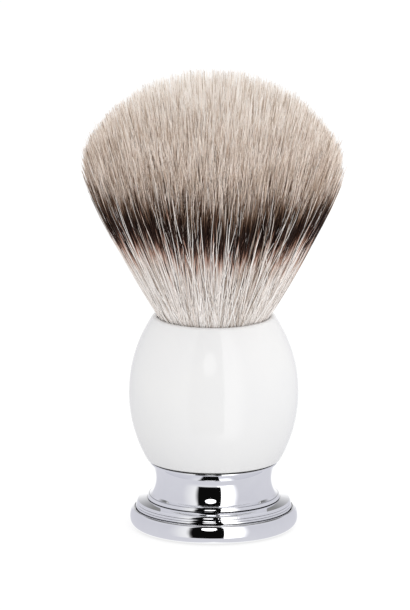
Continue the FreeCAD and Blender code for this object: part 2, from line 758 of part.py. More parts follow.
def add_knot_crown(sketch, last_line, flare_start):
    """Close the knot's outline with the flare, the shoulder and the dome, each tangent to the next."""
    shoulder = size["knot_shoulder_radius"]
    dome = size["knot_dome_radius"]
    shoulder_across = size["knot_radius"] - shoulder
    top = mouth_level + size["knot_loft"] - fibre_level
    dome_centre = FreeCAD.Vector(0, top.value - dome.value, 0)
    rise = math.sqrt((dome.value - shoulder.value) ** 2 - shoulder_across.value ** 2)
    shoulder_centre = dome_centre + FreeCAD.Vector(shoulder_across.value, rise, 0)
    towards = shoulder_centre - flare_start
    lean = math.atan2(towards.x, towards.y) + math.asin(shoulder.value / towards.Length)
    flare_end = shoulder_centre + FreeCAD.Vector(math.cos(lean), -math.sin(lean), 0) * shoulder.value
    join_angle = math.atan2(rise, shoulder_across.value)
    upwards = FreeCAD.Vector(0, 0, 1)
    flare = sketch.addGeometry(Part.LineSegment(flare_start, flare_end), False)
    shoulder_circle = Part.Circle(shoulder_centre, upwards, shoulder.value)
    shoulder_arc = sketch.addGeometry(Part.ArcOfCircle(shoulder_circle, -lean, join_angle), False)
    dome_circle = Part.Circle(dome_centre, upwards, dome.value)
    dome_arc = sketch.addGeometry(Part.ArcOfCircle(dome_circle, join_angle, math.pi / 2), False)
    peak = FreeCAD.Vector(0, top.value, 0)
    axis_line = sketch.addGeometry(Part.LineSegment(peak, FreeCAD.Vector(0, 0, 0)), False)
    sketch.addConstraint(Sketcher.Constraint("Coincident", last_line, 2, flare, 1))
    sketch.addConstraint(Sketcher.Constraint("Tangent", flare, 2, shoulder_arc, 1))
    sketch.addConstraint(Sketcher.Constraint("Tangent", shoulder_arc, 2, dome_arc, 1))
    sketch.addConstraint(Sketcher.Constraint("Coincident", dome_arc, 2, axis_line, 1))
    sketch.addConstraint(Sketcher.Constraint("Coincident", axis_line, 2, 0, 1))
    sketch.addConstraint(Sketcher.Constraint("PointOnObject", dome_arc, 3, -2))
    bind(sketch, Sketcher.Constraint("Radius", shoulder_arc, shoulder.value), shoulder)
    bind(sketch, Sketcher.Constraint("Radius", dome_arc, dome.value), dome)
    across = Sketcher.Constraint("DistanceX", -1, 1, shoulder_arc, 3, shoulder_across.value)
    bind(sketch, across, shoulder_across)
    place_point(sketch, axis_line, 1, 0, top)


def check_document():
    """Stop if any object of the document failed to build."""
    for item in doc.Objects:
        if "Invalid" in item.State or "Error" in item.State:
            raise ValueError(f"{item.Name} did not build: {item.State}")


def export(pieces):
    for piece in pieces:
        if piece.Shape.isNull() or not piece.Shape.isValid():
            raise ValueError(f"{piece.Label} has no valid shape")
    os.makedirs("parts", exist_ok=True)
    for piece in pieces:
        piece.Shape.exportStep(f"parts/{piece.Label}.step")


PIECES = [
    make_foot_pad(),
    make_foot_base(),
    make_neck_collar(),
    make_ballast_weight(),
    make_body_gasket(),
    make_handle_body(),
    make_socket_seal(),
    make_knot_socket(),
    make_threaded_insert(),
    make_tie_screw(),
    make_flat_washer(),
    make_spring_washer(),
    make_knot_glue_bed(),
    make_knot_ring(),
    make_resin_plug(),
    make_root_binding(),
    make_fibre_bundle(),
]

doc.recompute()
check_document()
export(PIECES)
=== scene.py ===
"""Looks of the shaving brush: a knot of fine fibres in a glazed porcelain handle on a chromed foot."""
import math

import bpy
import numpy as np
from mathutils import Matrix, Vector
from mathutils.kdtree import KDTree


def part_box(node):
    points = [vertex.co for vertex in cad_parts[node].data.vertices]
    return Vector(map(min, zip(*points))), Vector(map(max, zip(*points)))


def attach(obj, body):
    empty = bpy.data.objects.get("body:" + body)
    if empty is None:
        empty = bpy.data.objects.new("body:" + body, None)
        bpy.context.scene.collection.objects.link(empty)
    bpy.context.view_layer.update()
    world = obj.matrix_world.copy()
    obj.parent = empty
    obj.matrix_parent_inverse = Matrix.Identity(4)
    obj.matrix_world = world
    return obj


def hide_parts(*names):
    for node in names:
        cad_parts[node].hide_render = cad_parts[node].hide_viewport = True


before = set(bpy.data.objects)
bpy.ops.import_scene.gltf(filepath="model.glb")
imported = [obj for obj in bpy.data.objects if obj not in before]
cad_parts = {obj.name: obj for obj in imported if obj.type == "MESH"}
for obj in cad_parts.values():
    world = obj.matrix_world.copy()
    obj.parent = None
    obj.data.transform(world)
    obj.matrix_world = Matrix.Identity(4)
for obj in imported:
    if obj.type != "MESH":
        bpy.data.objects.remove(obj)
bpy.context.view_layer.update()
MM = 0.001
FULL_TURN = 2.0 * math.pi
SEED = 20


# ---------------------------------------------------------------- shader nodes


class Nodes:
    """Adds nodes to one node tree and wires them."""

    def __init__(self, tree):
        self.tree = tree
        tree.nodes.clear()

    def add(self, kind, settings=None, inputs=None):
        node = self.tree.nodes.new("ShaderNode" + kind)
        for name, value in (settings or {}).items():
            setattr(node, name, value)
        for socket, value in (inputs or {}).items():
            self.plug(node, socket, value)
        return node

    def plug(self, node, socket, value):
        if isinstance(value, bpy.types.NodeSocket):
            self.tree.links.new(value, node.inputs[socket])
        else:
            node.inputs[socket].default_value = value

    def math(self, operation, a, b=0.0, clamp=False):
        settings = {"operation": operation, "use_clamp": clamp}
        return self.add("Math", settings, {0: a, 1: b}).outputs[0]

    def times(self, a, b):
        return self.math("MULTIPLY", a, b)

    def remap(self, value, low, high, to_low=0.0, to_high=1.0, curve="LINEAR"):
        inputs = {"Value": value, "From Min": low, "From Max": high,
                  "To Min": to_low, "To Max": to_high}
        return self.add("MapRange", {"interpolation_type": curve}, inputs).outputs["Result"]

    def ramp(self, value, stops):
        node = self.add("ValToRGB", None, {"Fac": value})
        elements = node.color_ramp.elements
        while len(elements) < len(stops):
            elements.new(0.5)
        for element, (place, colour) in zip(elements, stops):
            element.position = place
            element.color = (*colour, 1.0)
        return node.outputs["Color"]

    def cloudy(self, noise, dark, light):
        """A colour between two that follows the middle of a noise."""
        return self.ramp(noise, [(0.3, dark), (0.7, light)])

    def noise(self, vector, scale, detail=2.0, roughness=0.5):
        inputs = {"Vector": vector, "Scale": scale, "Detail": detail, "Roughness": roughness}
        return self.add("TexNoise", None, inputs).outputs["Fac"]

    def scaled(self, vector, factors):
        return self.add("VectorMath", {"operation": "MULTIPLY"}, {0: vector, 1: factors}).outputs[0]

    def mix(self, factor, a, b, blend="MIX"):
        node = self.add("Mix", {"data_type": "RGBA", "blend_type": blend})
        self.plug(node, 0, factor)
        self.plug(node, 6, a)
        self.plug(node, 7, b)
        return node.outputs[2]

    def attribute(self, name):
        return self.add("Attribute", {"attribute_name": name}).outputs["Fac"]

    def bump(self, height, strength, distance):
        inputs = {"Height": height, "Strength": strength, "Distance": distance}
        return self.add("Bump", None, inputs).outputs["Normal"]

    def object_place(self):
        return self.add("TexCoord").outputs["Object"]

    def lathe_place(self, place):
        """Coordinates that don't change round the axis: the distance from it, and the height."""
        apart = self.add("SeparateXYZ", None, {0: place}).outputs
        square = self.math("ADD", self.times(apart[0], apart[0]), self.times(apart[1], apart[1]))
        radius = self.math("SQRT", square)
        return self.add("CombineXYZ", None, {0: radius, 2: apart[2]}).outputs[0]


def new_material(name):
    made = bpy.data.materials.new(name)
    made.use_nodes = True
    return made, Nodes(made.node_tree)


def principled(nodes, **inputs):
    """A Principled shader on the output; words in socket names are joined by underscores."""
    sockets = {name.replace("_", " "): value for name, value in inputs.items()}
    shader = nodes.add("BsdfPrincipled", None, sockets)
    nodes.add("OutputMaterial", None, {0: shader.outputs[0]})


def grey(level):
    return (level, level, level, 1.0)


def tint(colour, factor):
    return tuple(channel * factor for channel in colour)


# ---------------------------------------------------------------- materials

# Painted shade: how far ambient occlusion looks for a crease, and the near-black that creases in the
# chrome are painted toward.
CREASE_SHADE_REACH = 0.6 * MM
CREASE_SHADE_COLOUR = (0.03, 0.03, 0.035, 1.0)


def porcelain():
    """White glaze over a white body: a faint ripple in the glaze and a very slight warm mottle."""
    made, nodes = new_material("porcelain")
    place = nodes.object_place()
    mottle = nodes.noise(place, scale=55.0, detail=3.0, roughness=0.55)
    colour = nodes.cloudy(mottle, dark=(0.722, 0.722, 0.727), light=(0.744, 0.742, 0.738))
    ripple = nodes.noise(place, scale=140.0)
    speck = nodes.noise(place, scale=1500.0, roughness=0.6)
    gloss = nodes.remap(speck, 0.3, 0.7, to_low=0.055, to_high=0.085)
    normal = nodes.bump(ripple, strength=0.1, distance=0.3 * MM)
    principled(nodes, Base_Color=colour, Roughness=gloss, Normal=normal, IOR=1.52,
               Specular_IOR_Level=0.3)
    return made


def chrome():
    """Polished chrome: fine turning lines round the axis, faint wiping haze, and painted shade that
    darkens the creases.
    """
    made, nodes = new_material("chrome")
    place = nodes.object_place()
    lines = nodes.noise(nodes.lathe_place(place), scale=9000.0, detail=3.0, roughness=0.6)
    haze = nodes.noise(place, scale=160.0, detail=4.0, roughness=0.6)
    rough = nodes.math("ADD", nodes.remap(haze, 0.35, 0.75, to_low=0.015, to_high=0.04),
                       nodes.remap(lines, 0.3, 0.7, to_low=0.0, to_high=0.01))
    tone = nodes.cloudy(haze, dark=(0.86, 0.865, 0.885), light=(0.9, 0.905, 0.92))
    # Painted shade: the base colour is darkened toward near-black where ambient occlusion finds a
    # crease.
    shade_openness = nodes.add("AmbientOcclusion", {"samples": 8}, {"Distance": CREASE_SHADE_REACH}).outputs["AO"]
    tone = nodes.mix(nodes.remap(shade_openness, 0.3, 0.82), CREASE_SHADE_COLOUR, tone)
    normal = nodes.bump(lines, strength=0.02, distance=0.01 * MM)
    principled(nodes, Base_Color=tone, Metallic=1.0, Roughness=rough, Normal=normal)
    return made


# Colours along a fibre, each with its distance from the handle's mouth in mm.
RAMP_START = -8.0
RAMP_LENGTH = 70.0
BANDED_STOPS = [(-8.0, (0.985, 0.95, 0.925)), (15.0, (0.995, 0.95, 0.925)),
                (19.2, (0.96, 0.86, 0.81)), (21.7, (0.56, 0.33, 0.25)),
                (23.7, (0.055, 0.022, 0.012)), (26.0, (0.024, 0.009, 0.005)),
                (31.0, (0.026, 0.011, 0.006)), (33.7, (0.24, 0.14, 0.09)),
                (37.2, (0.9, 0.785, 0.7)), (46.0, (0.985, 0.905, 0.835)),
                (58.0, (0.998, 0.972, 0.94))]
PALE_STOPS = [(-8.0, (0.97, 0.95, 0.93)), (34.0, (0.96, 0.91, 0.88)), (62.0, (0.99, 0.97, 0.95))]
BROWN_STOPS = [(30.0, (0.04, 0.02, 0.012)), (37.0, (0.2, 0.115, 0.07)),
               (46.0, (0.44, 0.29, 0.2)), (60.0, (0.93, 0.86, 0.79))]
TONE_STOPS = [(0.0, (0.46, 0.38, 0.31)), (0.2, (0.76, 0.69, 0.63)),
              (0.4, (0.98, 0.96, 0.94)), (1.0, (1.0, 1.0, 1.0))]


def along_ramp(nodes, place, stops):
    """Colour from stops at distances from the mouth; place is 0 to 1 along the whole ramp."""
    return nodes.ramp(place, [((distance - RAMP_START) / RAMP_LENGTH, colour)
                              for distance, colour in stops])


def fibres():
    """Cream filaments with a dark band, set by each strand's own length from the handle's mouth."""
    made, nodes = new_material("fibres")
    along = nodes.math("ADD", nodes.attribute("along"), nodes.attribute("shift"))
    place = nodes.remap(along, RAMP_START, RAMP_START + RAMP_LENGTH)
    colour = nodes.mix(nodes.attribute("pale"), along_ramp(nodes, place, BANDED_STOPS),
                       along_ramp(nodes, place, PALE_STOPS))
    above_band = nodes.remap(along, 29.0, 32.0)
    streak = nodes.times(nodes.attribute("brown"), above_band)
    colour = nodes.mix(streak, colour, along_ramp(nodes, place, BROWN_STOPS))
    warm = nodes.ramp(nodes.attribute("tone"), TONE_STOPS)
    strength = nodes.remap(along, 8.0, 26.0, to_low=0.7, to_high=1.0)
    colour = nodes.mix(strength, colour, warm, "MULTIPLY")
    principled(nodes, Base_Color=colour, Roughness=0.45, Specular_IOR_Level=0.2)
    return made


def moulded(name, colour, roughness, grain, depth, **more):
    """Cast, moulded or foamed stuff: a cloudy tone and a fine grain, with its depth in mm."""
    made, nodes = new_material(name)
    place = nodes.object_place()
    cloud = nodes.noise(place, scale=grain * 0.12, detail=3.0, roughness=0.6)
    tone = nodes.cloudy(cloud, dark=tint(colour, 0.82), light=tint(colour, 1.08))
    fine = nodes.noise(place, scale=grain, detail=3.0, roughness=0.6)
    rough = nodes.remap(fine, 0.3, 0.7, to_low=roughness * 0.85, to_high=min(1.0, roughness * 1.15))
    normal = nodes.bump(fine, strength=0.35, distance=depth * MM)
    principled(nodes, Base_Color=tone, Roughness=rough, Normal=normal, **more)
    return made


def turned_metal(name, colour, roughness):
    """Metal cut on a lathe: fine rings round the axis."""
    made, nodes = new_material(name)
    place = nodes.object_place()
    rings = nodes.noise(nodes.lathe_place(place), scale=5000.0, detail=3.0, roughness=0.6)
    stain = nodes.noise(place, scale=220.0, detail=4.0, roughness=0.6)
    tone = nodes.cloudy(stain, dark=tint(colour, 0.85), light=tint(colour, 1.05))
    rough = nodes.remap(rings, 0.3, 0.7, to_low=roughness * 0.7, to_high=roughness * 1.3)
    normal = nodes.bump(rings, strength=0.3, distance=0.03 * MM)
    principled(nodes, Base_Color=tone, Metallic=1.0, Roughness=rough, Normal=normal)
    return made


def twine():
    """Waxed thread: slanted strands and a soft sheen."""
    made, nodes = new_material("twine")
    slant = nodes.scaled(nodes.object_place(), (1.0, 1.0, 2.2))
    strands = nodes.add("TexWave", {"bands_direction": "DIAGONAL"},
                        {"Vector": slant, "Scale": 900.0, "Distortion": 1.5}).outputs["Fac"]
    tone = nodes.ramp(strands, [(0.1, (0.36, 0.29, 0.18)), (0.9, (0.66, 0.55, 0.38))])
    normal = nodes.bump(strands, strength=0.5, distance=0.1 * MM)
    principled(nodes, Base_Color=tone, Roughness=0.7, Normal=normal, Sheen_Weight=0.3)
    return made


def foam():
    """Closed-cell foam: small round cells and a dusty dark tone."""
    made, nodes = new_material("foam")
    place = nodes.object_place()
    cells = nodes.add("TexVoronoi", None, {"Vector": place, "Scale": 2600.0}).outputs["Distance"]
    cloud = nodes.noise(place, scale=180.0, detail=3.0, roughness=0.6)
    tone = nodes.cloudy(cloud, dark=(0.018, 0.018, 0.02), light=(0.032, 0.032, 0.035))
    dusty = nodes.remap(cells, 0.0, 0.8, to_low=0.0, to_high=0.35)
    tone = nodes.mix(dusty, tone, (0.06, 0.06, 0.065, 1.0))
    normal = nodes.bump(cells, strength=0.6, distance=0.2 * MM)
    principled(nodes, Base_Color=tone, Roughness=0.92, Normal=normal)
    return made


def node_materials():
    """Material of each CAD node, by node name."""
    metal = chrome()
    steel = turned_metal("fastener", (0.56, 0.56, 0.58), 0.32)
    return {
        "handle_body": porcelain(),
        "neck_collar": metal,
        "foot_base": metal,
        "body_gasket": moulded("gasket", (0.035, 0.034, 0.03), 0.7, grain=2500.0, depth=0.05),
        "socket_seal": moulded("seal", (0.05, 0.05, 0.05), 0.75, grain=2500.0, depth=0.05),
        "knot_socket": moulded("socket", (0.8, 0.8, 0.77), 0.5, grain=1800.0, depth=0.04),
        "resin_plug": moulded("resin", (0.5, 0.3, 0.1), 0.18, grain=600.0, depth=0.05,
                              Transmission_Weight=0.25),
        "knot_glue_bed": moulded("glue", (0.8, 0.76, 0.6), 0.3, grain=700.0, depth=0.08),
        "ballast_weight": moulded("ballast", (0.3, 0.3, 0.31), 0.45, grain=1600.0, depth=0.08,
                                  Metallic=1.0),
        "knot_ring": turned_metal("ring", (0.76, 0.77, 0.79), 0.28),
        "threaded_insert": turned_metal("insert", (0.75, 0.52, 0.2), 0.3),
        "tie_screw": steel,
        "flat_washer": steel,
        "spring_washer": steel,
        "root_binding": twine(),
        "fibre_bundle": FIBRE_MATERIAL,
        "foot_pad": FOAM_MATERIAL,
    }


# ---------------------------------------------------------------- mesh making


def make_piece(name, vertices, faces, material):
    """A piece on the body, with faces as one array of corner numbers for each face size."""
    mesh = bpy.data.meshes.new(name)
    counts = np.concatenate([np.full(len(part), part.shape[1]) for part in faces])
    corners = np.concatenate([part.ravel() for part in faces])
    mesh.vertices.add(len(vertices))
    mesh.vertices.foreach_set("co", vertices.astype(np.float32).ravel())
    mesh.loops.add(len(corners))
    mesh.loops.foreach_set("vertex_index", corners.astype(np.int32))
    mesh.polygons.add(len(counts))
    mesh.polygons.foreach_set("loop_start", (np.cumsum(counts) - counts).astype(np.int32))
    mesh.polygons.foreach_set("use_smooth", np.ones(len(counts), bool))
    mesh.update(calc_edges=True)
    mesh.validate()
    mesh.materials.append(material)
    piece = bpy.data.objects.new(name, mesh)
    bpy.context.scene.collection.objects.link(piece)
    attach(piece, "root")
    return piece


def grid_faces(rows, columns):
    """Quads of a grid that closes round its columns."""
    here = np.arange(columns)
    after = (here + 1) % columns
    low = np.arange(rows - 1)[:, None] * columns
    quads = np.stack([low + here, low + after, low + columns + after, low + columns + here], -1)
    return quads.reshape(-1, 4)


def make_turned_piece(name, across, heights, material):
    """A closed turned piece, from its radius and height at each row of the outline and column."""
    rows, columns = across.shape
    angle = np.arange(columns) * FULL_TURN / columns
    vertices = np.stack([across * np.cos(angle), across * np.sin(angle), heights], -1)
    bottom = np.arange(columns)[None, ::-1]
    cap = np.arange(columns)[None] + (rows - 1) * columns
    faces = [grid_faces(rows, columns), bottom, cap]
    return make_piece(name, vertices.reshape(-1, 3), faces, material)


def outline_grids(outline, columns):
    """Radii and heights of an outline, each repeated over the columns."""
    radii, heights = np.array(outline).T
    shape = (len(outline), columns)
    return np.broadcast_to(radii[:, None], shape), np.broadcast_to(heights[:, None], shape)


# ---------------------------------------------------------------- fibres

STRANDS = 26400
STRAYS = 360
SHELLS = ["fibres_core", "fibres_inner", "fibres_middle", "fibres_outer", "fibres_skin",
          "fibres_rim"]
TUFTS = 900
SEGMENTS = 8
SIDES = 3

# The fan of strands. Lengths are in mm, and a span is a distance along a strand from the ring's top.
FLARE = math.radians(29.1)
RING_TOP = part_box("knot_ring")[1].z / MM
MOUTH_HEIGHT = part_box("handle_body")[1].z / MM
MOUTH_SPAN = (MOUTH_HEIGHT - RING_TOP) / math.cos(FLARE)
ROOT_RADIUS = 9.75
START_SPAN = -1.2
BEND_SPAN = 30.0
BEND_RATE = 0.0075
SHOULDER_HEIGHT = 77.0
SHOULDER_ROOM = 0.7
TESTED_SPANS = np.arange(20.0, 74.0, 0.2)

# How the strands differ: a PART is a part of all strands, a SPREAD is a standard deviation or mean.
FULLNESS = 0.43
STRAY_SHARE = (0.96, 1.01)
LEAN_SPREAD = math.radians(1.7)
LEAN_LIMIT = math.radians(1.6)
TWIST_SPREAD = 0.1
CROSSING_PART = 0.2
CROSSING_TWIST = 2.4
STRAY_TWIST = 0.38
TIP_OVER = 0.6
TIP_SPREAD = 2.1
STUNTED_PART = 0.14
STUNTED_BY = (2.0, 10.0)
OUTER_CUT = 0.8
RIGHT_CUT = 1.0
PALE_PART = 0.04
BROWN_PART = 0.27
WAVE_SIZE = (0.03, 0.22)
WAVE_LENGTH = (22.0, 60.0)
THICK_STEPS = [0.0, 0.3, 0.7, 0.9, 1.0]
THICK_RADII = [0.085, 0.105, 0.1, 0.07, 0.025]

# How far the colours are moved toward the root, in mm.
SHIFT_SPREAD = 1.6
SHIFT_RIGHT = 1.2
SHIFT_SIDES = 2.8
SHIFT_CENTRE = 1.7
HIGH_BAND_PART = 0.28
HIGH_BAND_BY = 3.3
LOW_BAND_PART = 0.14
LOW_BAND_BY = 2.2

# How each tuft closes round its leader and differs from the next.
TUFT_PULL = (0.05, 0.6)
TUFT_SHIFT = 1.15
TUFT_TONE = (-0.35, 0.4)


def knot_outline():
    """Heights and radii of the CAD knot's outline, in mm."""
    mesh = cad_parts["fibre_bundle"].data
    co = np.empty(len(mesh.vertices) * 3)
    mesh.vertices.foreach_get("co", co)
    co = co.reshape(-1, 3) / MM
    heights = np.round(co[:, 2], 3)
    radii = np.hypot(co[:, 0], co[:, 1])
    levels = np.unique(heights)
    widest = np.array([radii[heights == level].max() for level in levels])
    above = levels > RING_TOP - 1.0
    return levels[above], widest[above]


def centre_lines(share, turn, lean, twist, spans):
    """Points of strands at each span. Share is 0 on the axis and 1 outside."""
    tilt = (FLARE * share + lean)[:, None]
    bent = np.clip(spans - BEND_SPAN, 0.0, None)
    across = ROOT_RADIUS * share[:, None] + spans * np.sin(tilt)
    across = across - BEND_RATE * share[:, None] ** 3 * bent ** 2
    height = RING_TOP + spans * np.cos(tilt)
    angle = turn[:, None] + twist[:, None] * spans / (ROOT_RADIUS + 0.4 * np.abs(spans))
    return np.stack([across * np.cos(angle), across * np.sin(angle), height], -1)


def reach(share, turn, lean, twist):
    """Span at which each strand leaves the knot's outline, or leans out of it below the shoulder."""
    outline = knot_outline()
    spans = np.broadcast_to(TESTED_SPANS, (len(share), len(TESTED_SPANS)))
    points = centre_lines(share, turn, lean, twist, spans)
    across = np.hypot(points[..., 0], points[..., 1])
    limit = np.interp(points[..., 2], outline[0], outline[1], right=0.0)
    low = points[..., 2] < SHOULDER_HEIGHT
    inside = (across < limit) | (low & (across < limit + SHOULDER_ROOM))
    return TESTED_SPANS[np.argmin(inside, axis=1)]


def strand_ways(rng, count):
    """Where each strand starts, and how it leans and twists. The strays come last."""
    share = rng.uniform(0.0, 1.0, count) ** FULLNESS
    share[STRANDS:] = rng.uniform(*STRAY_SHARE, STRAYS)
    turn = rng.uniform(0.0, FULL_TURN, count)
    lean = rng.normal(0.0, LEAN_SPREAD, count)
    lean = np.minimum(lean, LEAN_LIMIT * (1.35 - share))
    twist = rng.normal(0.0, TWIST_SPREAD, count)
    twist[rng.uniform(size=count) < CROSSING_PART] *= CROSSING_TWIST
    twist[STRANDS:] = rng.normal(0.0, STRAY_TWIST, STRAYS)
    return share, turn, lean, twist


def strand_lengths(rng, share, aside, longest):
    """Span of each strand's tip: outer strands and those at the right are cut a little shorter."""
    count = len(share)
    short = rng.exponential(TIP_SPREAD, count)
    stunted = rng.uniform(size=count) < STUNTED_PART
    short[stunted] += rng.uniform(*STUNTED_BY, stunted.sum())
    outer = np.clip((share - 0.5) * 3.0, 0.0, 1.0)
    right = np.clip(aside, 0.0, 1.0)
    return longest + TIP_OVER - short - OUTER_CUT * outer - RIGHT_CUT * right


def strand_colours(rng, aside):
    """How pale and how brown each strand is, its tone, and how far its colours are moved down."""
    count = len(aside)
    pale = (rng.uniform(size=count) < PALE_PART) * rng.uniform(0.75, 1.0, count)
    pale[STRANDS:] = 1.0
    brown = (rng.uniform(size=count) < BROWN_PART) * rng.uniform(0.3, 1.0, count)
    tone = rng.uniform(0.0, 1.0, count)
    centre = np.clip(1.0 - 1.5 * np.abs(aside), 0.0, 1.0)
    shift = rng.normal(0.0, SHIFT_SPREAD, count) + SHIFT_RIGHT * aside + SHIFT_SIDES * np.abs(aside)
    shift += SHIFT_CENTRE * centre
    drawn = rng.uniform(size=count)
    shift -= (drawn < HIGH_BAND_PART) * rng.exponential(HIGH_BAND_BY, count)
    shift += (drawn > 1.0 - LOW_BAND_PART) * rng.exponential(LOW_BAND_BY, count)
    return {"pale": pale, "brown": brown * (pale < 0.1), "tone": tone, "shift": shift}


def strand_plan(rng):
    """What sets each strand apart. Aside is where it stands, from -1 at the left to 1 at the right."""
    share, turn, lean, twist = strand_ways(rng, STRANDS + STRAYS)
    aside = share * np.cos(turn)
    length = strand_lengths(rng, share, aside, reach(share, turn, lean, twist))
    plan = {"share": share, "turn": turn, "lean": lean, "twist": twist, "length": length}
    return plan | strand_colours(rng, aside)


def gather(rng, plan):
    """For each strand, the leader that its tuft closes round and how strongly. Shades the tufts."""
    tree = KDTree(TUFTS)
    plan_x = plan["share"] * np.cos(plan["turn"])
    plan_y = plan["share"] * np.sin(plan["turn"])
    for number in range(TUFTS):
        tree.insert((plan_x[number], plan_y[number], 0.0), number)
    tree.balance()
    leader = np.array([tree.find((x, y, 0.0))[1] for x, y in zip(plan_x, plan_y)])
    pull = rng.uniform(*TUFT_PULL, len(leader))
    tuft_shift = rng.normal(0.0, TUFT_SHIFT, TUFTS)
    tuft_tone = rng.uniform(*TUFT_TONE, TUFTS)
    plan["shift"] += tuft_shift[leader]
    plan["tone"] = np.clip(plan["tone"] + tuft_tone[leader], 0.0, 1.0)
    return leader, pull


def strand_points(rng, plan, leader, pull):
    """Centre points of every strand, with its tuft's pull and its own waves."""
    steps = np.linspace(0.0, 1.0, SEGMENTS + 1) ** 0.92
    spans = START_SPAN + (plan["length"][:, None] - START_SPAN) * steps
    keys = ("share", "turn", "lean", "twist")
    points = centre_lines(*[plan[key] for key in keys], spans)
    led = centre_lines(*[plan[key][leader] for key in keys], spans)
    grip = pull[:, None] * np.clip((steps - 0.3) / 0.7, 0.0, 1.0) ** 1.5
    points = points + (led - points) * grip[..., None]
    for axis, strength in enumerate((1.0, 1.0, 0.3)):
        size = rng.uniform(*WAVE_SIZE, len(points))[:, None] * strength
        length = rng.uniform(*WAVE_LENGTH, len(points))[:, None]
        phase = rng.uniform(0.0, FULL_TURN, len(points))[:, None]
        swing = np.sin(spans / length * FULL_TURN + phase) - np.sin(phase)
        points[..., axis] += size * swing * np.clip(steps * 2.0, 0.0, 1.0)
    return points, spans, steps


def tubes(rng, points, steps):
    """Thin three-sided tubes round the centre points, tapered to the tip."""
    along = points[:, -1] - points[:, 0]
    along /= np.linalg.norm(along, axis=1, keepdims=True)
    aside = np.cross(along, np.array([0.36, 0.48, 0.8]))
    aside /= np.linalg.norm(aside, axis=1, keepdims=True)
    other = np.cross(along, aside)
    thick = np.interp(steps, THICK_STEPS, THICK_RADII)
    thick = thick * rng.uniform(0.8, 1.15, len(points))[:, None]
    roll = rng.uniform(0.0, FULL_TURN, len(points))[:, None]
    rings = []
    for side in range(SIDES):
        angle = roll + side * FULL_TURN / SIDES
        way = np.cos(angle) * aside + np.sin(angle) * other
        rings.append(points + thick[..., None] * way[:, None])
    return np.stack(rings, 2)


def strand_faces(count):
    """Quads and end triangles of a number of strands."""
    per_strand = (SEGMENTS + 1) * SIDES
    quads = grid_faces(SEGMENTS + 1, SIDES)
    last = SEGMENTS * SIDES
    ends = np.array([[2, 1, 0], [last, last + 1, last + 2]])
    first = np.arange(count)[:, None, None] * per_strand
    return (first + quads).reshape(-1, 4), (first + ends).reshape(-1, 3)


MAP_ROWS = 8
STRIP_WIDE = 0.9
STRIP_TALL = 0.98


def strand_uvs(count):
    """A narrow upright strip of the map for each strand, which its three sides share."""
    columns = math.ceil(count / MAP_ROWS)
    number = np.arange(count)
    left = (number % columns) / columns
    low = (number // columns) / MAP_ROWS
    wide = STRIP_WIDE / columns
    tall = STRIP_TALL / MAP_ROWS
    step = np.arange(SEGMENTS) / SEGMENTS
    across = np.array([0.0, 1.0, 1.0, 0.0])
    up = np.array([0.0, 0.0, 1.0, 1.0]) / SEGMENTS
    quad = np.empty((count, SEGMENTS, SIDES, 4, 2))
    quad[..., 0] = (left[:, None] + wide * across)[:, None, None]
    quad[..., 1] = (low[:, None, None] + tall * (step[:, None] + up))[:, :, None]
    end = np.empty((count, 2, 3, 2))
    end[..., 0] = (left[:, None] + wide * np.array([0.0, 0.5, 1.0]))[:, None]
    end[..., 1] = low[:, None, None] + tall * np.array([[0.0, 0.01, 0.0], [1.0, 0.99, 1.0]])
    return np.concatenate([quad.reshape(-1), end.reshape(-1)])


def add_values(mesh, name, values):
    data = mesh.attributes.new(name, "FLOAT", "POINT").data
    data.foreach_set("value", np.ascontiguousarray(values, np.float32).ravel())


def make_shell(name, chosen, rings, spans, plan):
    """One piece with the chosen strands."""
    count = len(chosen)
    vertices = rings[chosen].reshape(-1, 3) * MM
    piece = make_piece(name, vertices, strand_faces(count), FIBRE_MATERIAL)
    mesh = piece.data
    mesh.uv_layers.new(name="OFBake").data.foreach_set("uv", strand_uvs(count).astype(np.float32))
    shape = (count, SEGMENTS + 1, SIDES)
    add_values(mesh, "along", np.broadcast_to(spans[chosen][..., None] - MOUTH_SPAN, shape))
    for key in ("shift", "tone", "pale", "brown"):
        add_values(mesh, key, np.broadcast_to(plan[key][chosen][:, None, None], shape))
    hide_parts("fibre_bundle")


def make_fibres():
    """The knot's strands, in shells from the axis outward."""
    rng = np.random.default_rng(SEED)
    plan = strand_plan(rng)
    leader, pull = gather(rng, plan)
    points, spans, steps = strand_points(rng, plan, leader, pull)
    rings = tubes(rng, points, steps)
    order = np.argsort(plan["share"])
    for name, chosen in zip(SHELLS, np.array_split(order, len(SHELLS))):
        make_shell(name, chosen, rings, spans, plan)


ROOTS_FULL = 9.8 * MM
ROOTS_WAIST = 8.95 * MM
ROOTS_FADE = 0.45 * MM
ROOTS_COLUMNS = 240
ROOTS_ALONG = -7.0
AXIS_GAP = 0.05 * MM


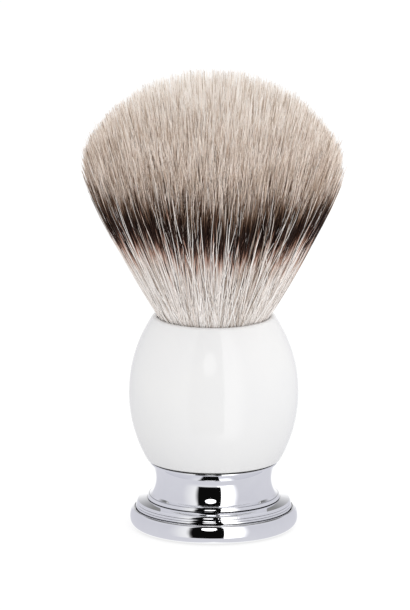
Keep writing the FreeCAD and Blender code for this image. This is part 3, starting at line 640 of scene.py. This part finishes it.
def make_fibre_roots():
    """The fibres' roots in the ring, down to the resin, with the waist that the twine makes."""
    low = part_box("resin_plug")[1].z
    waist_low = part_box("root_binding")[0].z
    waist_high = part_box("root_binding")[1].z
    top = (RING_TOP - 0.8) * MM
    outline = [(AXIS_GAP, low), (ROOTS_FULL * 0.6, low), (ROOTS_FULL, low),
               (ROOTS_FULL, waist_low - ROOTS_FADE), (ROOTS_WAIST, waist_low),
               (ROOTS_WAIST, waist_high), (ROOTS_FULL, waist_high + ROOTS_FADE),
               (ROOTS_FULL, top), (ROOTS_FULL * 0.6, top), (AXIS_GAP, top)]
    rng = np.random.default_rng(SEED + 1)
    groove = 1.0 - 0.012 * rng.uniform(0.0, 1.0, ROOTS_COLUMNS)
    radii, heights = outline_grids(outline, ROOTS_COLUMNS)
    piece = make_turned_piece("fibre_roots", radii * groove, heights, FIBRE_MATERIAL)
    add_values(piece.data, "along", np.full(radii.shape, ROOTS_ALONG))
    tone = rng.uniform(0.0, 1.0, ROOTS_COLUMNS)
    add_values(piece.data, "tone", np.broadcast_to(tone, radii.shape))
    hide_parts("fibre_bundle")


# ---------------------------------------------------------------- foot pad

PAD_COLUMNS = 180
PAD_EDGE = 0.25 * MM
PAD_SIDE_GAP = 0.03 * MM
PAD_TOP_GAP = 0.02 * MM
PAD_DIMPLE = 0.03 * MM


def make_foam_pad():
    """The foam disc under the foot, with a rounded lower edge and a slightly uneven face."""
    low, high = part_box("foot_pad")
    radius = high.x - PAD_SIDE_GAP
    top = high.z - PAD_TOP_GAP
    thick = high.z - low.z
    flat = radius - PAD_EDGE
    under = [(flat * step, low.z) for step in np.linspace(0.02, 1.0, 24)[:-1]]
    edge = [(flat + PAD_EDGE * math.sin(angle), low.z + PAD_EDGE * (1.0 - math.cos(angle)))
            for angle in np.linspace(0.0, math.pi / 2.0, 6)]
    side = [(radius, low.z + thick * 0.7), (radius - 0.02 * MM, top)]
    over = [(radius * part, top) for part in (0.8, 0.4, 0.02)]
    radii, heights = outline_grids(under + edge + side + over, PAD_COLUMNS)
    rng = np.random.default_rng(SEED + 2)
    dimple = rng.uniform(0.0, PAD_DIMPLE, radii.shape)
    uneven_rows = len(under) + len(edge) - 1
    dimple[uneven_rows:] = 0.0
    piece = make_turned_piece("foam_pad", radii, heights + dimple, FOAM_MATERIAL)
    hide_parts("foot_pad")


# ---------------------------------------------------------------- room

ROOM_LIGHT = 0.86
WHITE = 1.02
TABLE_HALF = 3.0

# What glossy surfaces see: the room's colour from straight below to straight above, and levels of
# grey in it.
GLOW_LEVEL = 1.0
STRIP_LEVEL = 2.2
GAP_LEVEL = 0.004
LAMP_LEVEL = 2.0
HORIZON_LEVEL = 1.1
WALL_LEVEL = 0.26
CEILING_LEVEL = 0.2
ROOM_STOPS = [(0.0, (0.72, 0.72, 0.77)), (0.45, (0.69, 0.69, 0.745)),
              (0.62, (0.67, 0.67, 0.725)), (1.0, (0.85, 0.85, 0.9))]


def seen_way(nodes):
    return nodes.add("TexCoord").outputs["Generated"]


def direction_angles(nodes):
    """Azimuth from straight in front of the brush, to the right, and elevation, in degrees."""
    apart = nodes.add("SeparateXYZ", None, {0: seen_way(nodes)}).outputs
    front = nodes.times(apart[1], -1.0)
    azimuth = nodes.math("DEGREES", nodes.math("ARCTAN2", apart[0], front))
    elevation = nodes.math("DEGREES", nodes.math("ARCSINE", apart[2]))
    return azimuth, elevation


def window(nodes, angle, low, high, soft_low, soft_high):
    """1 between two angles, falling to 0 over a soft edge on each side."""
    rise = nodes.remap(angle, low - soft_low, low + soft_low, curve="SMOOTHSTEP")
    fall = nodes.remap(angle, high - soft_high, high + soft_high, 1.0, 0.0, "SMOOTHSTEP")
    return nodes.times(rise, fall)


def disc(nodes, azimuth, elevation, centre, half):
    """1 inside an ellipse of azimuth and elevation, with a slightly soft edge."""
    across = nodes.math("DIVIDE", nodes.math("SUBTRACT", azimuth, centre[0]), half[0])
    up = nodes.math("DIVIDE", nodes.math("SUBTRACT", elevation, centre[1]), half[1])
    square = nodes.math("ADD", nodes.times(across, across), nodes.times(up, up))
    return nodes.remap(square, 0.88, 1.08, 1.0, 0.0, "SMOOTHSTEP")


def overhead(nodes):
    """1 in a round patch of dim ceiling above the brush, a little behind it."""
    lean = math.radians(20.0)
    inner = math.cos(math.radians(34.0))
    outer = math.cos(math.radians(42.0))
    axis = (0.0, math.sin(lean), math.cos(lean))
    toward = nodes.add("VectorMath", {"operation": "DOT_PRODUCT"}, {0: seen_way(nodes), 1: axis})
    return nodes.remap(toward.outputs["Value"], outer, inner, curve="SMOOTHSTEP")


def add_softboxes(nodes, azimuth, elevation, shown):
    """A soft glow, a bright strip, the dark gap where the lens stands, and a lamp in the gap."""
    glow = nodes.times(window(nodes, azimuth, low=-52.0, high=14.0, soft_low=16.0, soft_high=3.0),
                       window(nodes, elevation, low=-38.0, high=56.0, soft_low=10.0, soft_high=10.0))
    shown = nodes.mix(nodes.times(glow, 0.8), shown, grey(GLOW_LEVEL))
    strip = nodes.times(window(nodes, azimuth, low=8.0, high=40.0, soft_low=3.0, soft_high=12.0),
                        window(nodes, elevation, low=-38.0, high=52.0, soft_low=3.0, soft_high=6.0))
    shown = nodes.mix(strip, shown, grey(STRIP_LEVEL))
    gap = nodes.times(window(nodes, azimuth, low=-34.0, high=14.5, soft_low=4.5, soft_high=0.8),
                      window(nodes, elevation, low=-34.0, high=86.0, soft_low=2.0, soft_high=2.0))
    shown = nodes.mix(gap, shown, grey(GAP_LEVEL))
    lamp = disc(nodes, azimuth, elevation, centre=(-6.2, 25.0), half=(11.0, 9.5))
    return nodes.mix(lamp, shown, grey(LAMP_LEVEL))


def add_far_side(nodes, azimuth, elevation, ray, shown):
    """White behind the brush near the horizon, and above it a dim wall and a dim ceiling.

    Only what is mirrored once sees the wall and the ceiling.
    """
    behind = nodes.remap(nodes.math("ABSOLUTE", azimuth), 156.0, 173.0, curve="SMOOTHSTEP")
    raised = nodes.remap(elevation, 9.0, 25.0)
    bright = nodes.times(behind, nodes.math("SUBTRACT", 1.0, raised))
    shown = nodes.mix(bright, shown, grey(HORIZON_LEVEL))
    once = nodes.remap(ray["Glossy Depth"], 1.4, 1.6, 1.0, 0.0)
    dim = nodes.times(nodes.times(behind, raised), once)
    shown = nodes.mix(dim, shown, grey(WALL_LEVEL))
    return nodes.mix(nodes.times(overhead(nodes), once), shown, grey(CEILING_LEVEL))


def plain_strength(nodes):
    """Strength of the even light: stronger near the horizon, and a little from the right."""
    apart = nodes.add("SeparateXYZ", None, {0: seen_way(nodes)}).outputs
    steep = nodes.times(nodes.math("ABSOLUTE", apart[2]), 1.6)
    belt = nodes.math("SUBTRACT", 1.0, steep, clamp=True)
    side = nodes.math("ADD", nodes.times(apart[0], 0.15), nodes.times(belt, 0.32))
    return nodes.math("ADD", side, ROOM_LIGHT)


def make_world():
    """A white room. Glossy surfaces see its softboxes, its dim parts and the gap for the lens."""
    world = bpy.data.worlds.new("studio")
    bpy.context.scene.world = world
    world.use_nodes = True
    world.cycles.sampling_method = "NONE"
    nodes = Nodes(world.node_tree)
    ray = nodes.add("LightPath").outputs
    azimuth, elevation = direction_angles(nodes)
    room = nodes.ramp(nodes.remap(elevation, -90.0, 90.0), ROOM_STOPS)
    shown = add_softboxes(nodes, azimuth, elevation, room)
    shown = add_far_side(nodes, azimuth, elevation, ray, shown)
    glossy = nodes.add("Background", None, {"Color": shown})
    plain = nodes.add("Background", None, {"Color": grey(1.0), "Strength": plain_strength(nodes)})
    white = nodes.add("Background", None, {"Color": grey(1.0), "Strength": WHITE})
    lit = nodes.add("MixShader", None, {0: ray["Is Glossy Ray"], 1: plain.outputs[0],
                                        2: glossy.outputs[0]})
    seen = nodes.add("MixShader", None, {0: ray["Is Camera Ray"], 1: lit.outputs[0],
                                         2: white.outputs[0]})
    nodes.add("OutputWorld", None, {0: seen.outputs[0]})


def make_floor():
    """A plain white table top, which the polished foot doesn't mirror."""
    made, nodes = new_material("table")
    grain = nodes.noise(nodes.object_place(), scale=40.0)
    colour = nodes.cloudy(grain, dark=(0.97, 0.97, 0.97), light=(0.985, 0.985, 0.985))
    flat = nodes.add("BsdfDiffuse", None, {"Color": colour})
    lit = nodes.add("Emission", None, {"Color": grey(1.0), "Strength": WHITE})
    both = nodes.add("MixShader", None, {0: 0.8, 1: flat.outputs[0], 2: lit.outputs[0]})
    nodes.add("OutputMaterial", None, {0: both.outputs[0]})
    half = TABLE_HALF
    mesh = bpy.data.meshes.new("table")
    mesh.from_pydata([(-half, -half, 0), (half, -half, 0), (half, half, 0), (-half, half, 0)],
                     [], [(0, 1, 2, 3)])
    mesh.materials.append(made)
    table = bpy.data.objects.new("table", mesh)
    bpy.context.scene.collection.objects.link(table)
    table.visible_glossy = False


# ---------------------------------------------------------------- lights, camera

# Name, place, height on the axis that it is aimed at (m), and power (W).
LIGHTS = [("key", (0.12, -0.85, 0.78), 0.06, 3.3),
          ("top", (0.0, -0.1, 1.3), 0.1, 0.9),
          ("rim_left", (-0.6, 0.3, 0.7), 0.07, 1.3),
          ("rim_right", (0.6, 0.3, 0.7), 0.07, 1.3)]
LIGHT_SIDE = 0.5
CAMERA_DISTANCE = 1.6
CAMERA_TILT = math.radians(12.7)
CAMERA_AIM = Vector((-1.956 * MM, 0.0, 50.93 * MM))
FOCAL_PER_DISTANCE = 0.26407


def make_light(name, place, aim_height, power):
    lamp = bpy.data.lights.new(name, "AREA")
    lamp.shape = "RECTANGLE"
    lamp.size = LIGHT_SIDE
    lamp.size_y = LIGHT_SIDE
    lamp.energy = power
    light = bpy.data.objects.new(name, lamp)
    light.location = place
    way = Vector((0.0, 0.0, aim_height)) - Vector(place)
    light.rotation_euler = way.to_track_quat("-Z", "Y").to_euler()
    light.visible_camera = False
    light.visible_glossy = False
    bpy.context.scene.collection.objects.link(light)


def make_camera():
    """A long lens in front of the brush, looking down on it a little."""
    data = bpy.data.cameras.new("camera")
    data.sensor_width = 36.0
    data.lens = FOCAL_PER_DISTANCE * CAMERA_DISTANCE / MM
    camera = bpy.data.objects.new("camera", data)
    way = Vector((0.0, -math.cos(CAMERA_TILT), math.sin(CAMERA_TILT)))
    camera.location = CAMERA_AIM + CAMERA_DISTANCE * way
    camera.rotation_euler = (math.pi / 2.0 - CAMERA_TILT, 0.0, 0.0)
    bpy.context.scene.collection.objects.link(camera)
    bpy.context.scene.camera = camera


# ---------------------------------------------------------------- everything


def corners(box):
    return [[float(value) for value in corner] for corner in box]


FIBRE_MATERIAL = fibres()
FOAM_MATERIAL = foam()
for node_name, node_material in node_materials().items():
    node_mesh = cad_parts[node_name].data
    node_mesh.materials.clear()
    node_mesh.materials.append(node_material)
make_fibre_roots()
make_fibres()
make_foam_pad()
make_world()
make_floor()
for light_settings in LIGHTS:
    make_light(*light_settings)
make_camera()
bpy.context.scene.view_settings.view_transform = "Standard"
